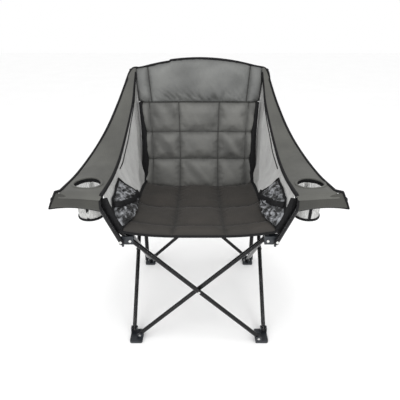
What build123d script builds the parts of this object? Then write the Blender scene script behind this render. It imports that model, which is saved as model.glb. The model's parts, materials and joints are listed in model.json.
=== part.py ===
"""Folding camp chair: a steel-tube scissor frame on four feet, with a padded sling seat and back.

Frame: +Z up, the chair faces -Y, and left and right are as seen from its front, so left is -X. The
origin is on the ground under the chair's middle. Millimetres. All eight leg tubes are equally long
between their pins, so every pair closes by the same angle and the feet, hubs and sliders stay upright.
"""
import os
from math import cos, radians, sin

from build123d import *

# Driving dimensions
tube_diameter = 16
tube_wall = 1.2
pin_half_span = 230  # leg pins stand this far each side of the middle, across and along the chair
foot_pin_height = 22
rise = 446  # from the foot pins up to the hub and slider pins
cross_plane = 264  # middle of the front pair and of the rear pair, in Y
side_plane = 247  # middle of each side pair, in X
pair_gap = 17  # between the middles of the two tubes of a pair
pin_radius = 2.5
pin_play = 0.2
head_height = 2
ear = 3.5  # thickness of the plastic ears that hold a tube
ear_radius = 11
base_top = 10  # thickness of a foot's base
socket_height = 44
past_pin = 7  # a tube's end stands past its pin
hub_overrun = 60  # the front tubes' upper ends stand past their hub pins
post_diameter = 19
post_base = Vector(262, 270, base_top)
post_bend = Vector(262, 270, 700)
post_top = Vector(276, 288, 928)
arm_plane = 294  # the arm posts' plane, in Y
arm_pin = Vector(258, -arm_plane, 474)
arm_corner = Vector(318, -arm_plane, 614)
arm_end = Vector(458, -arm_plane, 628)
seat_half_width = 212
seat_front = -288
seat_rear = 180
seat_front_height = 497  # the seat's top face slopes down to the rear
seat_rear_height = 447
seat_thickness = 26
back_origin = Vector(0, 190, 455)  # bottom of the back pad's front face
back_lean = 5.5
back_half_width = 228
back_height = 356
head_half_width = 255
head_corner = 484  # heights up the back's plane
head_apex = 532
pad_thickness = 24
cloth = 4
seam_gap = 0.6
cup_centre = Vector(368, -208, 0)
cup_radius = 46
cup_wall = 2
cup_bottom = 525
ring_bottom = 622
ring_top = 644

# Worked out from them
half_gap = pair_gap / 2
top_pin_height = foot_pin_height + rise
crossing_height = foot_pin_height + rise / 2
tube_radius = tube_diameter / 2
ear_gap = tube_radius + 0.5
grip = 2 * (ear_gap + ear)
outer_face = side_plane + half_gap + ear_gap + ear
end_face = cross_plane + half_gap + ear_gap + ear
clevis = (pin_half_span - ear_radius, pin_half_span + ear_radius)
post_radius = post_diameter / 2
post_fit = 0.3
hole_radius = pin_radius + pin_play
top_plate = (top_pin_height + 12, top_pin_height + 18)
across = Vector(1, 0, 0)
along = Vector(0, 1, 0)
up = Vector(0, 0, 1)
sides = {"left": -1, "right": 1}

os.makedirs("parts", exist_ok=True)


def save(name, part):
    """Label one finished piece and write it under its name."""
    part.label = name
    export_step(part, f"parts/{name}.step")


def block(x_limits, y_limits, z_limits, mode=Mode.ADD):
    """A box between two limits on each axis, in the part being built."""
    limits = [sorted(pair) for pair in (x_limits, y_limits, z_limits)]
    with Locations(tuple((low + high) / 2 for low, high in limits)):
        Box(*(high - low for low, high in limits), mode=mode)


def rod(centre, axis, radius, length, mode=Mode.ADD):
    """A cylinder about a point and along an axis, in the part being built."""
    with Locations(Plane(origin=centre, z_dir=axis)):
        Cylinder(radius, length, mode=mode)


def mirrored(point, side):
    """A point of the right-hand side, carried to the side asked for."""
    return Vector(point.X * side, point.Y, point.Z)


def scaled(limits, factor):
    """Two limits turned to the other side of the middle where the factor is negative."""
    return tuple(limit * factor for limit in limits)


# Where the tubes' pins are: end is -1 at the front and 1 at the rear, side is -1 left and 1 right

def cross_pin(end, side, at_foot):
    """Pin of a front or rear tube, which leans across the chair."""
    offset = half_gap * side * (1 if at_foot else -1)
    height = foot_pin_height if at_foot else top_pin_height
    return Vector(side * pin_half_span, end * (cross_plane + offset), height)


def side_pin(end, side, at_foot):
    """Pin of a side tube, which leans along the chair. The tube from the front foot runs outside."""
    outer = (end < 0) == at_foot
    offset = half_gap if outer else -half_gap
    height = foot_pin_height if at_foot else top_pin_height
    return Vector(side * (side_plane + offset), end * pin_half_span, height)


# Steel tubes

def leg_tube(foot, top, axis, past_top):
    """A straight tube from its foot pin to its top pin, drilled for both and for the crossing."""
    direction = (top - foot).normalized()
    with BuildPart() as leg:
        with BuildSketch(Plane(origin=foot - direction * past_pin, z_dir=direction)):
            Circle(tube_radius)
            Circle(tube_radius - tube_wall, mode=Mode.SUBTRACT)
        extrude(amount=(top - foot).length + past_pin + past_top)
        for point in (foot, (foot + top) / 2, top):
            rod(point, axis, hole_radius, tube_diameter + 2, mode=Mode.SUBTRACT)
    return leg.part


def bent_tube(points, radius, bend_radius):
    """A tube bent along a path of straight runs and arcs."""
    with BuildPart() as tube:
        with BuildLine() as path:
            FilletPolyline(*points, radius=bend_radius)
        with BuildSketch(Plane(origin=path.wire() @ 0, z_dir=path.wire() % 0)):
            Circle(radius)
            Circle(radius - tube_wall, mode=Mode.SUBTRACT)
        sweep()
    return tube


def rear_post(side):
    """An upright from the rear foot to the back's top corner, which the slider rides on."""
    points = [mirrored(point, side) for point in (post_base, post_bend, post_top)]
    return bent_tube(points, post_radius, 120).part


def arm_post(side):
    """The arm's support: a strut from the hub and a bar along the arm's front edge."""
    strut = (arm_corner - arm_pin).normalized()
    low_end = arm_pin - strut * (past_pin + 3)
    points = [mirrored(point, side) for point in (low_end, arm_corner, arm_end)]
    tube = bent_tube(points, tube_radius, 26)
    with tube:
        rod(mirrored(arm_pin, side), along, hole_radius, tube_diameter + 2, mode=Mode.SUBTRACT)
    return tube.part


def end_plug(end, direction, radius):
    """A domed plastic plug in a tube's open end, pointing along the tube and out of it."""
    with BuildPart() as plug:
        rod(end + direction * 2.5, direction, radius, 5)
        fillet(plug.edges().filter_by(GeomType.CIRCLE).sort_by(Axis(end, direction))[-1], 3.5)
        rod(end - direction * 5, direction, radius - tube_wall, 10)
    return plug.part


# Pins and rivets

def headed_pin(centre, axis, length):
    """A round pin of a given grip, with a low domed head at each end."""
    with BuildPart() as pin:
        rod(centre, axis, pin_radius, length)
        for direction in (-1, 1):
            outward = axis * direction
            rod(centre + outward * (length + head_height) / 2, outward, 2 * pin_radius, head_height)
            edge = pin.edges().filter_by(GeomType.CIRCLE).sort_by(Axis(centre, outward))[-1]
            fillet(edge, 0.6 * head_height)
    return pin.part


def pin_group(pins):
    """The pins of one joint piece, as one group of separate solids."""
    return Compound(children=[headed_pin(*pin) for pin in pins])


# Plastic joint pieces

def ears(pin, axis, plate, heights):
    """Two ears either side of a tube; the plate is their width along the chair's other direction."""
    for direction in (-1, 1):
        faces = (ear_gap * direction, (ear_gap + ear) * direction)
        if axis == across:
            block([pin.X + face for face in faces], plate, heights)
        else:
            block(plate, [pin.Y + face for face in faces], heights)


def drill(pins):
    """Holes for the pins, through everything on their axes within the grip."""
    for centre, axis, length in pins:
        rod(centre, axis, hole_radius, length + 1, mode=Mode.SUBTRACT)


def joint_pins(end, side, at_foot):
    """The two leg pins of one foot, hub or slider: where each is, its axis and its grip. In a front hub
    the first pin starts at the hub's front face."""
    cross = cross_pin(end, side, at_foot)
    low, high = cross.Y - grip / 2, cross.Y + grip / 2
    if end < 0 and not at_foot:
        low = -end_face
    return [(Vector(cross.X, (low + high) / 2, cross.Z), along, high - low),
            (side_pin(end, side, at_foot), across, grip)]


def foot(end, side):
    """A plastic foot: a rounded base with a pair of ears for each tube, and a socket for a rear post."""
    pins = joint_pins(end, side, True)
    cross, upright = (pin[0] for pin in pins)
    heights = (0, foot_pin_height + ear_radius)
    wide, deep = scaled(clevis, side), scaled(clevis, end)
    with BuildPart() as piece:
        block(scaled((clevis[0], outer_face), side), scaled((clevis[0], end_face), end), (0, base_top))
        fillet(piece.edges().filter_by(Axis.Z), 7)
        ears(cross, along, wide, heights)
        ears(upright, across, deep, heights)
        top_edges = piece.edges().group_by(Axis.Z)[-1]
        fillet(top_edges.filter_by(lambda edge: abs(edge.length - ear) < 0.01), ear_radius - 1)
        if end > 0:
            base = mirrored(post_base, side)
            rod(base + up * (socket_height / 2 - base_top), up, post_radius + ear, socket_height)
            rod(base + up * socket_height / 2, up, post_radius, socket_height, mode=Mode.SUBTRACT)
        drill(pins)
    return piece.part


def arm_hub_pin(side):
    """Pin of the arm post: from the tube's front to the back of the hub's front ear."""
    front = -arm_plane - tube_radius - 0.5
    back = cross_pin(-1, side, False).Y - ear_gap
    return Vector(side * arm_pin.X, (front + back) / 2, arm_pin.Z), along, back - front


def front_hub(side):
    """A plastic hub at a front corner: two tubes meet in it, an arm post swings on its face, and a
    small peg hangs below for the pocket's loop."""
    pins = joint_pins(-1, side, False)
    cross = cross_pin(-1, side, False)
    heights = (top_pin_height - ear_radius - 2, top_plate[1])
    with BuildPart() as piece:
        block(scaled((clevis[0], outer_face), side), (-end_face, cross.Y - ear_gap), heights)
        block(scaled((clevis[0], 252), side), (cross.Y + ear_gap, cross.Y + ear_gap + ear), heights)
        block(scaled((246, outer_face), side), (-end_face, cross.Y + ear_gap + ear),
              (heights[0], top_pin_height - 2))
        ears(pins[1][0], across, scaled(clevis, -1), heights)
        inner_ear = side_plane - half_gap - ear_gap - ear
        block(scaled((inner_ear, 252), side), (cross.Y + ear_gap, -clevis[0]), top_plate)
        rod(Vector(side * 257, -275, heights[0] - 6), up, 4, 14)
        drill(pins + [arm_hub_pin(side)])
    return piece.part


def rear_slider(side):
    """A plastic slider on a rear post: a bored collar, with a pair of ears for each tube."""
    pins = joint_pins(1, side, False)
    heights = (top_pin_height - ear_radius, top_plate[1])
    collar = mirrored(Vector(post_base.X, post_base.Y, top_pin_height), side)
    with BuildPart() as piece:
        block(scaled((clevis[0], outer_face), side), (clevis[0], end_face), top_plate)
        fillet(piece.edges().filter_by(Axis.Z), 5)
        ears(pins[0][0], along, scaled(clevis, side), heights)
        ears(pins[1][0], across, clevis, heights)
        rod(collar, up, post_radius + ear + 0.5, 48)
        rod(collar, up, post_radius + post_fit, 60, mode=Mode.SUBTRACT)
        drill(pins)
    return piece.part


# Soft pieces, as plain closed solids

def seat_height(y):
    """Height of the seat's sloping top face at a place along the chair."""
    share = (y - seat_front) / (seat_rear - seat_front)
    return seat_front_height + share * (seat_rear_height - seat_front_height)


def seat_half(front, rear):
    """Half of the seat pad, which folds across its middle."""
    tops = [(y, seat_height(y)) for y in (front, rear)]
    bottoms = [(y, height - seat_thickness) for y, height in reversed(tops)]
    with BuildPart() as pad:
        with BuildSketch(Plane.YZ):
            Polygon(*tops, *bottoms, align=None)
        extrude(amount=seat_half_width, both=True)
        fillet(pad.edges().filter_by(Axis.X), 8)
    return pad.part


def back_plane():
    """The plane of the back's front face: X across the chair and Y up the back."""
    lean = radians(back_lean)
    return Plane(origin=back_origin, x_dir=across, z_dir=Vector(0, -cos(lean), sin(lean)))


def back_pad():
    """The padded back, from the seat up to the headrest seam."""
    with BuildPart() as pad:
        with BuildSketch(back_plane()):
            Rectangle(2 * back_half_width, back_height, align=(Align.CENTER, Align.MIN))
        extrude(amount=-pad_thickness)
        fillet(pad.edges().filter_by(Axis.X), 8)
    return pad.part


def headrest():
    """The padded headrest between the rear posts, with its arched top edge."""
    bottom = back_height + seam_gap
    with BuildPart() as pad:
        with BuildSketch(back_plane()):
            with BuildLine():
                Polyline((-head_half_width, head_corner), (-head_half_width, bottom),
                         (head_half_width, bottom), (head_half_width, head_corner))
                ThreePointArc((-head_half_width, head_corner), (0, head_apex),
                              (head_half_width, head_corner))
            make_face()
        extrude(amount=-pad_thickness)
    return pad.part


def arm_band(side):
    """The arm's cloth: it drops from the back's top corner, flares out and runs level to the front,
    with a round hole for the cup holder."""
    inner_top, outer_top = (260, 258), (278, 258)
    inner_front, outer_front = (316, -278), (450, -278)
    with BuildPart() as band:
        with BuildSketch(Plane.YZ.offset(side * 240)):
            with BuildLine():
                FilletPolyline((262, 905), (75, 650), (-282, 632), radius=170)
            trace(line_width=cloth)
        extrude(amount=side * 240)
        with BuildSketch():
            with BuildLine():
                Spline([(side * x, y) for x, y in (outer_top, (360, 165), (418, 0), outer_front)])
                Line((side * outer_front[0], -278), (side * inner_front[0], -278))
                Spline([(side * x, y) for x, y in (inner_front, (303, 0), (276, 165), inner_top)])
                Line((side * inner_top[0], 258), (side * outer_top[0], 258))
            make_face()
            with Locations((side * cup_centre.X, cup_centre.Y)):
                Circle(cup_radius + 2, mode=Mode.SUBTRACT)
        extrude(amount=1000, mode=Mode.INTERSECT)
    return band.part


def arm_sleeve(side):
    """The cloth sleeve at the arm's front, round the arm post's bar."""
    bar = (arm_end - arm_corner).normalized()
    start = mirrored(arm_corner + bar * 22, side)
    direction = mirrored(bar, side)
    with BuildPart() as sleeve:
        with BuildSketch(Plane(origin=start, z_dir=direction)):
            Circle(tube_radius + 3)
            Circle(tube_radius + 0.3, mode=Mode.SUBTRACT)
        extrude(amount=(arm_end - arm_corner).length - 30)
    return sleeve.part


def side_panel(side):
    """The mesh panel that closes the chair's side between the back, the seat and the arm."""
    with BuildPart() as panel:
        with BuildSketch(Plane.YZ.offset(side * 256)):
            Polygon((246, 850), (246, 506), (-96, 506), (-96, 616), (60, 626), align=None)
        extrude(amount=side * cloth / 2)
    return panel.part


def pocket(side):
    """A flat mesh bag inside the arm's front, open at the top."""
    wall = cloth / 2
    with BuildPart() as bag:
        block(scaled((262, 298), side), (-242, -102), (508, 606))
        block(scaled((262 + wall, 298 - wall), side), (-242 + wall, -102 - wall), (508 + wall, 610),
              mode=Mode.SUBTRACT)
    return bag.part


def cup(side):
    """The mesh cup that hangs from the ring."""
    centre = mirrored(cup_centre, side)
    with BuildPart() as bag:
        with BuildSketch(Plane.XY.offset(cup_bottom)):
            with Locations((centre.X, centre.Y)):
                Circle(cup_radius)
        extrude(amount=ring_bottom - seam_gap - cup_bottom)
        with BuildSketch(Plane.XY.offset(cup_bottom + cup_wall)):
            with Locations((centre.X, centre.Y)):
                Circle(cup_radius - cup_wall)
        extrude(amount=ring_bottom, mode=Mode.SUBTRACT)
    return bag.part


def cup_ring(side):
    """The stiff ring that holds the cup's mouth open in the arm."""
    centre = mirrored(cup_centre, side)
    with BuildPart() as ring:
        with BuildSketch(Plane.XY.offset(ring_bottom)):
            with Locations((centre.X, centre.Y)):
                Circle(cup_radius + 1)
                Circle(cup_radius - cup_wall, mode=Mode.SUBTRACT)
        extrude(amount=ring_top - ring_bottom)
        fillet(ring.edges().group_by(Axis.Z)[-1], 1.2)
    return ring.part


# Build and write every piece

for side_name, side in sides.items():
    other = -side
    cross_tubes = {"front": -1, "rear": 1}
    for end_name, end in cross_tubes.items():
        overrun = hub_overrun if end < 0 else past_pin
        top = cross_pin(end, other, False)
        save(f"{end_name}_leg_{side_name}", leg_tube(cross_pin(end, side, True), top, along, overrun))
        save(f"{end_name}_foot_{side_name}", foot(end, side))
        save(f"{end_name}_foot_pins_{side_name}", pin_group(joint_pins(end, side, True)))
        save(f"side_leg_{end_name}_{side_name}",
             leg_tube(side_pin(end, side, True), side_pin(-end, side, False), across, past_pin))
    save(f"side_crossing_rivet_{side_name}",
         headed_pin(Vector(side * side_plane, 0, crossing_height), across, pair_gap + tube_diameter))
    save(f"front_hub_{side_name}", front_hub(side))
    save(f"front_hub_pins_{side_name}", pin_group(joint_pins(-1, side, False) + [arm_hub_pin(side)]))
    save(f"rear_slider_{side_name}", rear_slider(side))
    save(f"rear_slider_pins_{side_name}", pin_group(joint_pins(1, side, False)))
    save(f"rear_post_{side_name}", rear_post(side))
    post_direction = mirrored((post_top - post_bend).normalized(), side)
    save(f"rear_post_plug_{side_name}", end_plug(mirrored(post_top, side), post_direction, post_radius))
    save(f"arm_post_{side_name}", arm_post(side))
    arm_direction = mirrored((arm_end - arm_corner).normalized(), side)
    save(f"arm_post_plug_{side_name}", end_plug(mirrored(arm_end, side), arm_direction, tube_radius))
    save(f"arm_band_{side_name}", arm_band(side))
    save(f"arm_sleeve_{side_name}", arm_sleeve(side))
    save(f"side_panel_{side_name}", side_panel(side))
    save(f"pocket_{side_name}", pocket(side))
    save(f"cup_{side_name}", cup(side))
    save(f"cup_ring_{side_name}", cup_ring(side))

for end_name, end in {"front": -1, "rear": 1}.items():
    save(f"{end_name}_crossing_rivet",
         headed_pin(Vector(0, end * cross_plane, crossing_height), along, pair_gap + tube_diameter))

seat_fold = (seat_front + seat_rear) / 2
save("seat_front", seat_half(seat_front, seat_fold - seam_gap / 2))
save("seat_rear", seat_half(seat_fold + seam_gap / 2, seat_rear))
save("back_pad", back_pad())
save("headrest", headrest())
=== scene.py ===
"""Looks of the folding camp chair: quilted cloth, mesh, binding and materials round the CAD frame.

Metres, +Z up, the chair faces -Y, and left is -X, as seen from its front.
"""
import json
import math

import bmesh
import bpy
import numpy as np
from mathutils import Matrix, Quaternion, Vector, noise


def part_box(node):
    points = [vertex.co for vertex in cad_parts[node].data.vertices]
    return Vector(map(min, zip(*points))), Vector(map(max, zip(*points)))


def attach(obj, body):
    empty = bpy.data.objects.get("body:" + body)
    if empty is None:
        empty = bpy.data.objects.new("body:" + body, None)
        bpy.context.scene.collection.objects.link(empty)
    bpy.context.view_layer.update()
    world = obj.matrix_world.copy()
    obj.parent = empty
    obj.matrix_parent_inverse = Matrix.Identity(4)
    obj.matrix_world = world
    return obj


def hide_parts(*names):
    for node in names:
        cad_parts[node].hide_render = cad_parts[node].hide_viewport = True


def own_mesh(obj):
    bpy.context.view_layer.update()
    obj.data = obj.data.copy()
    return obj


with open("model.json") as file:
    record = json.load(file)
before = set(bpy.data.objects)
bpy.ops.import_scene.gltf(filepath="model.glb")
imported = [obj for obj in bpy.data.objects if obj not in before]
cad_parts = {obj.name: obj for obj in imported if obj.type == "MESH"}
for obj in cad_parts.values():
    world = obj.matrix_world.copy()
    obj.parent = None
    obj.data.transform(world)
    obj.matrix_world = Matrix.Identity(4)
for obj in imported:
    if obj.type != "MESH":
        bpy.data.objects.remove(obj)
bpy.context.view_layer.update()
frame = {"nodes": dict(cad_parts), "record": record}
nodes = frame["nodes"]
SIDES = {"left": -1, "right": 1}
POST_BODY = {"left": "root", "right": "rear_foot_right"}
SKY = Vector((0, 0, 1))


def linear(*tone):
    """A linear colour from the tone as seen, 0 to 255."""
    return tuple((share / 255) ** 2.2 for share in tone)


# Places read from the frame, on the right side where the chair has two
seat_low, seat_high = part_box("seat_front")
_, seat_rear_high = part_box("seat_rear")
back_low, back_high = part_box("back_pad")
_, head_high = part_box("headrest")
cup_low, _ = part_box("cup_right")
ring_low, ring_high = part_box("cup_ring_right")
hub_low, hub_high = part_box("front_hub_right")
slider_low, slider_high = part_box("rear_slider_right")
post_low, post_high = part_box("rear_post_right")
arm_low, arm_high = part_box("arm_post_right")
CUP_X = (ring_low.x + ring_high.x) / 2
CUP_Y = (ring_low.y + ring_high.y) / 2
CUP_Z = (ring_low.z + ring_high.z) / 2
CUP_R = (ring_high.x - ring_low.x) / 2
BAR_Y = (arm_low.y + arm_high.y) / 2
POST_R = 0.0095
FOLDED = 0.372  # how far the right side travels to the left at full fold
SPAN = 2 * (post_low.x + POST_R)
LEAN = math.radians(5.5)  # the back's, from upright

# Sewing
STITCH = 0.0022  # half a pad's thickness along its seams
TAPE = 0.0065  # the headrest's cloth ends half of this below its outline


# Mesh helpers

def add_mesh(name, points, faces, material, smooth=True):
    """A new object from points and faces."""
    mesh = bpy.data.meshes.new(name)
    mesh.from_pydata([tuple(map(float, p)) for p in points], [], faces)
    mesh.validate()
    mesh.update()
    piece = bpy.data.objects.new(name, mesh)
    bpy.context.scene.collection.objects.link(piece)
    if smooth:
        mesh.shade_smooth()
    mesh.materials.append(material)
    return piece


def outward(piece):
    """Turn a closed mesh's faces outward."""
    bm = bmesh.new()
    bm.from_mesh(piece.data)
    bmesh.ops.recalc_face_normals(bm, faces=bm.faces)
    bm.to_mesh(piece.data)
    bm.free()
    return piece


def grid_faces(rows, columns, offset=0, flip=False):
    """Faces of a grid of points, stored row by row."""
    faces = []
    for r in range(rows - 1):
        for c in range(columns - 1):
            a = offset + r * columns + c
            quad = [a, a + 1, a + columns + 1, a + columns]
            faces.append(quad[::-1] if flip else quad)
    return faces


def rim_faces(rows, columns):
    """Faces that join the borders of two stacked grids of the same size."""
    loop = [c for c in range(columns)]
    loop += [r * columns + columns - 1 for r in range(1, rows)]
    loop += [(rows - 1) * columns + c for c in range(columns - 2, -1, -1)]
    loop += [r * columns for r in range(rows - 2, 0, -1)]
    shift = rows * columns
    return [[a, a + shift, b + shift, b] for a, b in zip(loop, loop[1:] + loop[:1])]


def tube_faces(rings, sides, closed=False, capped=True):
    """Faces round a row of rings, which may close on itself or have a cap at both ends."""
    faces = []
    for i in range(rings if closed else rings - 1):
        j = (i + 1) % rings
        for k in range(sides):
            m = (k + 1) % sides
            faces.append([i * sides + k, i * sides + m, j * sides + m, j * sides + k])
    if capped and not closed:
        faces.append(list(range(sides))[::-1])
        faces.append([(rings - 1) * sides + k for k in range(sides)])
    return faces


def rounded(angle, wide_power, high_power):
    """A point of a unit circle, pushed out towards a square by powers under 1."""
    wide, high = math.cos(angle), math.sin(angle)
    return math.copysign(abs(wide) ** wide_power, wide), math.copysign(abs(high) ** high_power, high)


def grid_normals(points):
    """Unit normals of a grid of points, shape rows x columns x 3."""
    du = np.gradient(points, axis=1)
    dv = np.gradient(points, axis=0)
    normals = np.cross(du, dv)
    return normals / np.maximum(np.linalg.norm(normals, axis=2, keepdims=True), 1e-9)


def two_sided(name, points, front, back, material):
    """A closed piece from a grid: its front layer stands front above it, its back layer back below it."""
    rows, columns = points.shape[:2]
    normals = grid_normals(points)
    layers = [points + normals * front[..., None], points - normals * back[..., None]]
    verts = np.concatenate([layer.reshape(-1, 3) for layer in layers])
    faces = grid_faces(rows, columns)
    faces += grid_faces(rows, columns, rows * columns, flip=True)
    faces += rim_faces(rows, columns)
    return outward(add_mesh(name, verts, faces, material))


def ribbon(name, path, width, thick, face, material, closed=False, sides=8):
    """A flat rounded strip along a path. face is the direction its flat side looks in, one or per point."""
    path = np.asarray(path, float)
    count = len(path)
    if closed:
        tangent = np.roll(path, -1, axis=0) - np.roll(path, 1, axis=0)
    else:
        tangent = np.gradient(path, axis=0)
    tangent /= np.linalg.norm(tangent, axis=1, keepdims=True)
    face = np.broadcast_to(np.asarray(face, float), path.shape)
    across = np.cross(tangent, face)
    across /= np.maximum(np.linalg.norm(across, axis=1, keepdims=True), 1e-9)
    normal = np.cross(across, tangent)
    widths = np.broadcast_to(np.asarray(width, float), count)
    verts = []
    for i in range(count):
        for k in range(sides):
            wide, high = rounded(2 * math.pi * k / sides, 0.6, 0.8)
            verts.append(path[i] + across[i] * wide * widths[i] / 2 + normal[i] * high * thick / 2)
    return outward(add_mesh(name, verts, tube_faces(count, sides, closed), material))


def curve_points(points, count):
    """A smooth line of count points, evenly spaced, through the points given."""
    points = np.asarray(points, float)
    ends = np.vstack([2 * points[0] - points[1], points, 2 * points[-1] - points[-2]])
    dense = []
    for i in range(len(points) - 1):
        a, b, c, d = ends[i:i + 4]
        for t in np.linspace(0, 1, 24, endpoint=False):
            dense.append(0.5 * (2 * b + (c - a) * t + (2 * a - 5 * b + 4 * c - d) * t * t
                                + (3 * b - a - 3 * c + d) * t ** 3))
    dense = np.array(dense + [points[-1]])
    length = np.concatenate([[0], np.cumsum(np.linalg.norm(np.diff(dense, axis=0), axis=1))])
    wanted = np.linspace(0, length[-1], count)
    return np.stack([np.interp(wanted, length, dense[:, k]) for k in range(3)], axis=1)


def joined(name, parts):
    """Several meshes as one object."""
    first = parts[0]
    bpy.ops.object.select_all(action="DESELECT")
    for part in parts:
        part.select_set(True)
    bpy.context.view_layer.objects.active = first
    bpy.ops.object.join()
    first.name = name
    first.data.name = name
    return first


def smoothed(piece):
    """The piece with one level of subdivision."""
    modifier = piece.modifiers.new("smooth", "SUBSURF")
    modifier.levels = modifier.render_levels = 1
    return piece


# Materials

MIX_FACTOR, MIX_LOW, MIX_HIGH, MIX_COLOUR = 0, 6, 7, 2  # the sockets of a Mix node set to colours


def feed(tree, node, inputs):
    """Set a node's inputs, and link the ones whose value is another node's output."""
    for key, value in inputs.items():
        if isinstance(value, bpy.types.NodeSocket):
            tree.links.new(value, node.inputs[key])
        else:
            node.inputs[key].default_value = value


def node_material(name, settings):
    """A new material, its node tree and its shader, with the shader's plain settings."""
    material = bpy.data.materials.new(name)
    material.use_nodes = True
    shader = material.node_tree.nodes["Principled BSDF"]
    feed(material.node_tree, shader, settings)
    return material, material.node_tree, shader


def new_node(tree, kind, inputs, **settings):
    """A shader node with its settings made first, because they decide which inputs it has."""
    node = tree.nodes.new(kind)
    for key, value in settings.items():
        setattr(node, key, value)
    feed(tree, node, inputs)
    return node


def object_points(tree, scale=(1, 1, 1)):
    """The piece's own coordinates, in metres, stretched by scale."""
    place = new_node(tree, "ShaderNodeTexCoord", {}).outputs["Object"]
    return new_node(tree, "ShaderNodeMapping", {"Scale": scale, "Vector": place}).outputs["Vector"]


def mix_colour(tree, factor, low, high, limits=(0.3, 0.7)):
    """A colour between low and high, as factor goes from one limit to the other."""
    ramp = new_node(tree, "ShaderNodeMapRange",
                    {"From Min": limits[0], "From Max": limits[1], "Value": factor})
    mix = new_node(tree, "ShaderNodeMix",
                   {MIX_FACTOR: ramp.outputs["Result"], MIX_LOW: (*low, 1), MIX_HIGH: (*high, 1)},
                   data_type="RGBA")
    return mix.outputs[MIX_COLOUR]


def colour_and_gloss(tree, shader, factor, low, high, roughness):
    """One pattern sets both the colour, from low to high, and the roughness between its two values."""
    rough = new_node(tree, "ShaderNodeMapRange",
                     {"To Min": roughness[0], "To Max": roughness[1], "Value": factor})
    feed(tree, shader, {"Base Color": mix_colour(tree, factor, low, high),
                        "Roughness": rough.outputs["Result"]})


def weave_height(tree, pitch):
    """The height of a plain weave: threads along three axes, so that it shows on any side."""
    total = 0.0
    for axis in "XYZ":
        wave = new_node(tree, "ShaderNodeTexWave",
                        {"Scale": 1 / (pitch * 20), "Distortion": 0.6, "Detail": 1.0,
                         "Detail Scale": 2.0, "Vector": object_points(tree)},
                        bands_direction=axis, wave_profile="SIN")
        add = new_node(tree, "ShaderNodeMath", {0: total, 1: wave.outputs["Fac"]}, operation="ADD")
        total = add.outputs["Value"]
    return total


def noise_value(tree, scale, detail=4.0, stretch=(1, 1, 1), rough=0.55):
    """Fractal noise, about 0.3 to 0.7."""
    tex = new_node(tree, "ShaderNodeTexNoise",
                   {"Scale": scale, "Detail": detail, "Roughness": rough,
                    "Vector": object_points(tree, stretch)})
    return tex.outputs["Fac"]


def add_bump(tree, shader, heights):
    """Stack bumps: (height, strength, distance) from the coarsest to the finest."""
    below = {}
    for height, strength, distance in heights:
        bump = new_node(tree, "ShaderNodeBump",
                        {"Strength": strength, "Distance": distance, "Height": height, **below})
        below = {"Normal": bump.outputs["Normal"]}
    feed(tree, shader, below)


# Painted shade: the colour that seams and the valleys of gathers are darkened towards, standing in for the
# shadow in their hollows
PAINTED_SEAM_SHADE = (0.30, 0.30, 0.30)  # what is left of the colour in the depth of a seam
MESH_PITCH = 0.0026
THREAD_SHARE = 0.35  # how much the threads change the colour, next to the patches


def cloth_material(name, low, high):
    """Coated polyester: a fine weave, soft mottling, slight creases, a little sheen, and painted shade at
    the seams and in the gathers' valleys.
    """
    settings = {"Roughness": 0.74, "Sheen Weight": 0.06, "Sheen Roughness": 0.45}
    material, tree, shader = node_material(name, settings)
    threads = noise_value(tree, 700, 2)
    blend = new_node(tree, "ShaderNodeMath", {0: threads, 1: THREAD_SHARE, 2: noise_value(tree, 9, 3)},
                     operation="MULTIPLY_ADD")
    shift = new_node(tree, "ShaderNodeMath", {0: blend.outputs["Value"], 1: THREAD_SHARE / 2},
                     operation="SUBTRACT")
    colour = mix_colour(tree, shift.outputs["Value"], low, high)
    # The seam attribute carries painted shade for the seams and the gathers' valleys, and it is multiplied
    # into the colour
    seam = new_node(tree, "ShaderNodeAttribute", {}, attribute_name="seam")
    seam_shaded_colour = new_node(tree, "ShaderNodeMix",
                    {MIX_FACTOR: seam.outputs["Fac"], MIX_LOW: colour, MIX_HIGH: (*PAINTED_SEAM_SHADE, 1)},
                    data_type="RGBA", blend_type="MULTIPLY")
    feed(tree, shader, {"Base Color": seam_shaded_colour.outputs[MIX_COLOUR]})
    add_bump(tree, shader, [(noise_value(tree, 26, 3), 0.45, 0.004),
                            (weave_height(tree, 0.0011), 0.35, 0.0004),
                            (threads, 0.3, 0.0003)])
    return material


def webbing_material(name, low, high):
    """Woven binding tape: a coarser rib and a dull black."""
    material, tree, shader = node_material(name, {"Roughness": 0.75, "Specular IOR Level": 0.25})
    feed(tree, shader, {"Base Color": mix_colour(tree, noise_value(tree, 240, 3), low, high)})
    add_bump(tree, shader, [(weave_height(tree, 0.0017), 0.6, 0.0006),
                            (noise_value(tree, 500, 2), 0.3, 0.0003)])
    return material


def mesh_material(name, low, high, cover, crumple=0.3, patch=30, limits=(0.3, 0.7)):
    """Knitted netting: threads on a fine grid, with see-through holes between them."""
    material, tree, shader = node_material(name, {"Roughness": 0.75, "Sheen Weight": 0.15})
    streaks = noise_value(tree, patch, 5, (1, 1, 0.5))
    cells = new_node(tree, "ShaderNodeTexVoronoi",
                     {"Scale": 1 / MESH_PITCH, "Randomness": 0.15, "Vector": object_points(tree)},
                     feature="DISTANCE_TO_EDGE")
    edge = 0.06 + cover * 0.25
    holes = new_node(tree, "ShaderNodeMapRange",
                     {"From Min": edge, "From Max": edge + 0.04, "To Min": 1.0, "To Max": cover,
                      "Value": cells.outputs["Distance"]})
    feed(tree, shader, {"Base Color": mix_colour(tree, streaks, low, high, limits),
                        "Alpha": holes.outputs["Result"]})
    add_bump(tree, shader, [(noise_value(tree, 34, 4), crumple, 0.004),
                            (cells.outputs["Distance"], 0.4, 0.0005)])
    return material


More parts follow.
